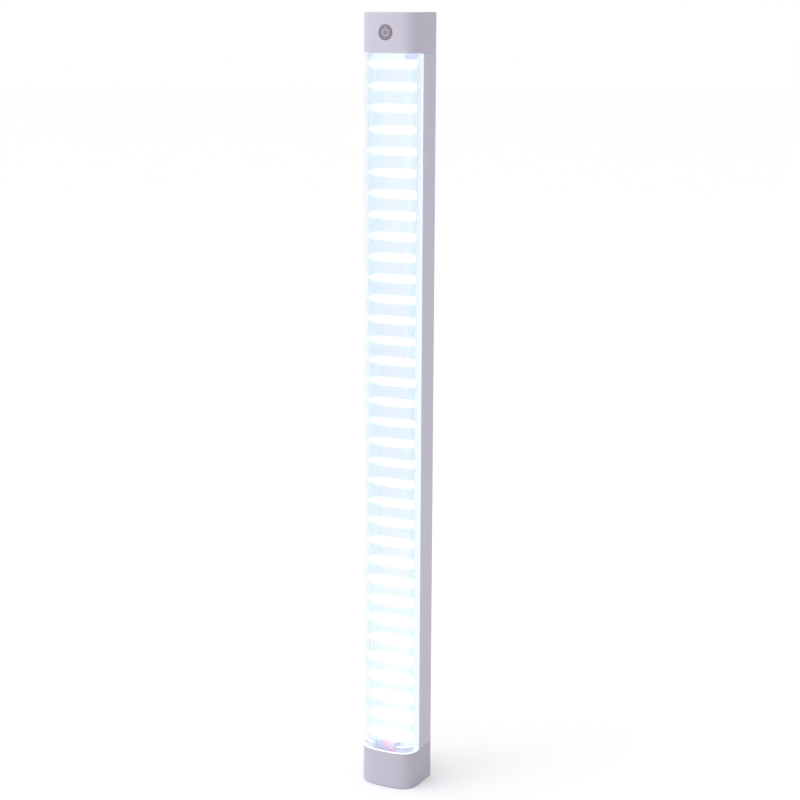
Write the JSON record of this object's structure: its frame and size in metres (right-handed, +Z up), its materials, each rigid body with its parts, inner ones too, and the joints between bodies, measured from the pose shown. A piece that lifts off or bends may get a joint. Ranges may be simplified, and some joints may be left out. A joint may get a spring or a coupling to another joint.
{
  "type": "led light tube",
  "caption": "Slim battery light tube standing on its lower cap: pale rear housing, ribbed clear front over a row of LEDs, end caps and a round power button.",
  "frame": {"origin": "centre of the base, on the surface the tube stands on", "axes": "+Z up along the tube, -Y out of the lit front, +X to the right seen from the front"},
  "size_m": [0.046, 0.04, 0.6],
  "materials": {
    "shell_plastic": "fine satin moulding texture",
    "clear_plastic": "clear, polished outside",
    "white_plastic": "semi-gloss white",
    "white_board": "white solder mask",
    "led_ceramic": "white moulded package",
    "led_phosphor": "yellow phosphor gel",
    "adhesive_tape": "double-sided tape",
    "foam": "closed-cell foam",
    "button_plastic": "dark grey satin",
    "symbol_ink": "pale moulded inlay",
    "black_plastic": "black moulding",
    "blue_board": "blue solder mask",
    "chip_plastic": "moulded component packages",
    "cell_can": "shrink-wrapped cell",
    "nickel": "nickel plate",
    "steel": "zinc-plated steel",
    "brass": "machined brass",
    "red_insulation": "silicone insulation",
    "black_insulation": "silicone insulation",
    "grey_insulation": "cable jacket"
  },
  "bodies": {
    "tube": {"battery_cells": "cell_can", "battery_holder": "white_plastic", "battery_lead_black": "black_insulation", "battery_lead_red": "red_insulation", "battery_pads": "foam", "battery_tabs": "nickel", "battery_terminals": "nickel", "board_jumper": "grey_insulation", "board_tape": "adhesive_tape", "bottom_cap": "shell_plastic", "bottom_cap_screws": "steel", "charging_board": "blue_board", "charging_board_screws": "steel", "charging_parts": "chip_plastic", "driver_board": "blue_board", "driver_parts": "chip_plastic", "housing": "shell_plastic", "indicator_pipe": "clear_plastic", "led_board": "white_board", "led_lead_black": "black_insulation", "led_lead_red": "red_insulation", "led_packages": "led_ceramic", "led_phosphors": "led_phosphor", "lens_cover": "clear_plastic", "link_cable": "grey_insulation", "protection_board": "blue_board", "reflector_tray": "white_plastic", "switch_board": "blue_board", "switch_board_parts": "chip_plastic", "switch_board_screws": "steel", "switch_body": "black_plastic", "top_cap": "shell_plastic", "top_cap_screws": "steel", "tripod_insert": "brass", "usb_shell": "nickel", "usb_tongue": "black_plastic"},
    "button": {"power_button": "button_plastic", "power_symbol": "symbol_ink", "switch_plunger": "black_plastic"}
  },
  "joints": [
    {"name": "button_press", "type": "slide", "parent": "tube", "child": "button", "axis": [0, 1, 0], "range_m": [0, 0.0006], "stiffness_N_per_m": 2600}
  ]
}
